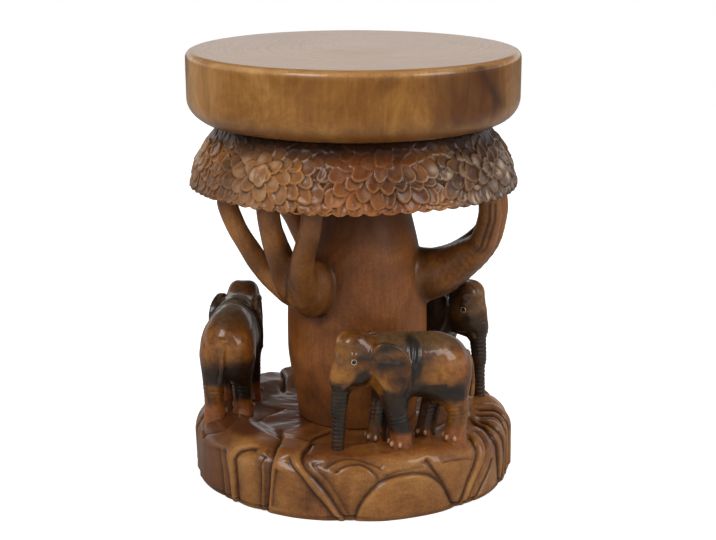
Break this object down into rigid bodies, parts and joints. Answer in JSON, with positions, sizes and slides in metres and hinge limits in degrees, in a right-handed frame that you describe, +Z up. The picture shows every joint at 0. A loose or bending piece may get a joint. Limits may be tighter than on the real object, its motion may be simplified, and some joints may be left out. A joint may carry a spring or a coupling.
{
  "type": "carved elephant stool",
  "caption": "Round wooden stool carved as a tree on a mound of roots, with walking elephants under a dome of leaves and a thick flat seat.",
  "frame": {"origin": "centre of the base's underside, on the floor", "axes": "+Z up along the seat's and the base's common axis, -Y towards the front, where one elephant shows its side"},
  "size_m": [0.344, 0.344, 0.45],
  "materials": {
    "seat_wood": "clear lacquer over pale sapwood and darker heartwood",
    "leaf_wood": "stained, carved and lacquered",
    "stem_wood": "stained and lacquered, satin",
    "base_wood": "stained, carved and lacquered, gloss",
    "elephant_wood": "scorched, stained and lacquered, gloss",
    "eye_bead": "polished bead, dark centre in a pale ring",
    "dowel_wood": "plain turned dowel"
  },
  "bodies": {
    "root": {"seat": "seat_wood", "canopy": "leaf_wood", "trunk": "stem_wood", "base": "base_wood", "limbs_left": "stem_wood", "limbs_right": "stem_wood", "limbs_rear": "stem_wood", "elephant_front": "elephant_wood", "elephant_left": "elephant_wood", "elephant_right": "elephant_wood", "eyes_front": "eye_bead", "eyes_left": "eye_bead", "eyes_right": "eye_bead", "seat_dowels": "dowel_wood", "limb_dowels": "dowel_wood", "foot_pegs": "dowel_wood"}
  },
  "joints": []
}
